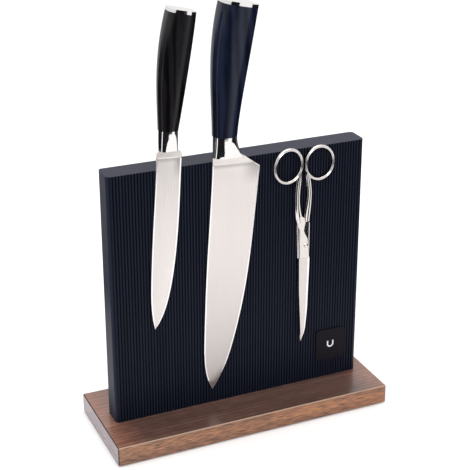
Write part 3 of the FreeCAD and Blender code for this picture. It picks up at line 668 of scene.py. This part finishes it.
def pivot_head(scissor, front):
    """Domed head of the rivet."""
    count = 40
    rise = (front - scissor.head) / MM
    rings = []
    for part in (0.0, 0.0, 0.25, 0.5, 0.7, 0.85, 0.95):
        reach = HEAD_RADIUS * math.sqrt(1 - part ** 2)
        rings.append([scissor.spot(reach * math.cos(turn), front - rise * part * MM, reach * math.sin(turn))
                      for turn in (2 * math.pi * step / count for step in range(count))])
    rings[0] = [point + Vector((0, 0.3 * MM, 0)) for point in rings[0]]
    points, faces = skin(rings)
    fix_normals(piece("scissor_pivot_head", points, faces, "scissor_bright", "scissors", ["scissor_pivot"]))


def along(values):
    """A smooth value read along a path from 0 to 1."""
    line = flow([(value,) for value in values])

    def read(part):
        spot = min(part, 0.9999) * (len(line) - 1)
        first = int(spot)
        return (line[first][0] + (line[first + 1][0] - line[first][0]) * (spot - first)) * MM
    return read


def make_scissors():
    scissor = ScissorFrame()
    rear_back = scissor.back
    rear_front = rear_back - REAR_THICK * MM
    front_back = rear_front - HALF_GAP * MM
    front_front = front_back - FRONT_THICK * MM
    handle_half("scissor_front", scissor, scissor.front_box, LEFT_RING, FRONT_SHANK, front_back,
                "scissor_lever")
    handle_half("scissor_rear", scissor, scissor.rear_box, RIGHT_RING, REAR_SHANK, rear_back, "scissors")
    front_plate(scissor, front_back, front_front)
    rear_plate(scissor, rear_back)
    pivot_head(scissor, front_front)
    scissor_blade("scissor_front_blade", scissor, FRONT_BACK, FRONT_EDGE, front_back, front_front + 0.25 * MM,
                  "scissor_lever")
    scissor_blade("scissor_rear_blade", scissor, REAR_BACK, REAR_EDGE, rear_back, rear_front, "scissors")


# ---------------------------------------------------------------- studio
FLOOR_REACH = 20.0
CARD_HEIGHT = 4 * MM
# Sectors of floor that look dark in reflections: start and end angle in degrees, near and far in metres.
# Angles turn from the front toward the right. The gaps between them are the bright windows.
DARK_SECTORS = [(-64, 4, 0.30, 0.62), (-64, 21, 0.62, 4.0), (-150, -76, 0.30, 4.0), (44, 150, 0.30, 0.62),
                (38, 150, 0.62, 4.0)]
CAMERA_SPOT = (-0.38635, -0.86737, 0.57826)
CAMERA_YAW, CAMERA_PITCH = math.radians(23.988), math.radians(-22.102)


def make_floor():
    reach = FLOOR_REACH
    mesh = bpy.data.meshes.new("floor")
    mesh.from_pydata([(-reach, -reach, 0), (reach, -reach, 0), (reach, reach, 0), (-reach, reach, 0)], [],
                     [(0, 1, 2, 3)])
    floor = bpy.data.objects.new("floor", mesh)
    bpy.context.scene.collection.objects.link(floor)
    paint = Shader("floor_white")
    paint.set(Base_Color=(0.93, 0.93, 0.93, 1.0), Roughness=0.8, Specular_IOR_Level=0.0)
    mesh.materials.append(paint.material)


def dark_card(name, start, end, near, far):
    """Black card lying just above the floor, a sector seen only in reflections."""
    steps = 12
    points, faces = [], []
    for step in range(steps + 1):
        angle = math.radians(start + (end - start) * step / steps)
        for reach in (near, far):
            points.append((reach * math.sin(angle), -reach * math.cos(angle), CARD_HEIGHT))
    for step in range(steps):
        faces.append((2 * step, 2 * step + 1, 2 * step + 3, 2 * step + 2))
    mesh = bpy.data.meshes.new(name)
    mesh.from_pydata(points, [], faces)
    mesh.materials.append(soft_plastic(name, (0.01, 0.01, 0.012), 0.9, 0.0))
    card = bpy.data.objects.new(name, mesh)
    card.visible_camera = card.visible_diffuse = card.visible_shadow = False
    card.visible_transmission = card.visible_volume_scatter = False
    bpy.context.scene.collection.objects.link(card)


def area_light(name, spot, aim, size, watts):
    data = bpy.data.lights.new(name, "AREA")
    data.shape = "RECTANGLE"
    data.size, data.size_y = size
    data.energy = watts
    lamp = bpy.data.objects.new(name, data)
    lamp.location = spot
    lamp.rotation_mode = "QUATERNION"
    lamp.rotation_quaternion = (Vector(aim) - Vector(spot)).to_track_quat("-Z", "Y")
    bpy.context.scene.collection.objects.link(lamp)


def make_studio():
    world = bpy.data.worlds.new("studio")
    bpy.context.scene.world = world
    world.use_nodes = True
    backdrop = world.node_tree.nodes["Background"]
    backdrop.inputs["Color"].default_value = (1.0, 1.0, 1.0, 1.0)
    backdrop.inputs["Strength"].default_value = 1.0
    middle = (0, 0, 0.2)
    for number, sector in enumerate(DARK_SECTORS):
        dark_card("card_%d" % number, *sector)
    area_light("key", (-0.9, -1.3, 1.6), middle, (1.0, 1.0), 14)
    area_light("top", (0.1, 0.2, 1.8), middle, (1.4, 1.0), 12)
    bpy.context.scene.view_settings.view_transform = "Standard"


def make_camera():
    """Stands at the left front, a little above the object."""
    data = bpy.data.cameras.new("camera")
    data.lens = 94.11
    data.shift_y = -0.0596
    camera = bpy.data.objects.new("camera", data)
    camera.location = CAMERA_SPOT
    flat = math.cos(CAMERA_PITCH)
    look = Vector((math.sin(CAMERA_YAW) * flat, math.cos(CAMERA_YAW) * flat, math.sin(CAMERA_PITCH)))
    camera.rotation_mode = "QUATERNION"
    camera.rotation_quaternion = look.to_track_quat("-Z", "Y")
    data.clip_start, data.clip_end = 0.05, 50
    bpy.context.scene.collection.objects.link(camera)
    bpy.context.scene.camera = camera


def paint_cad():
    """Gives every CAD node the material of its slot."""
    for part in frame["record"]["subparts"]:
        thing = frame["nodes"][part["node"]]
        thing.data.materials.clear()
        thing.data.materials.append(materials[part["material_slot"]])


materials = make_materials()
paint_cad()
make_blades()
make_scissors()
make_floor()
make_studio()
make_camera()
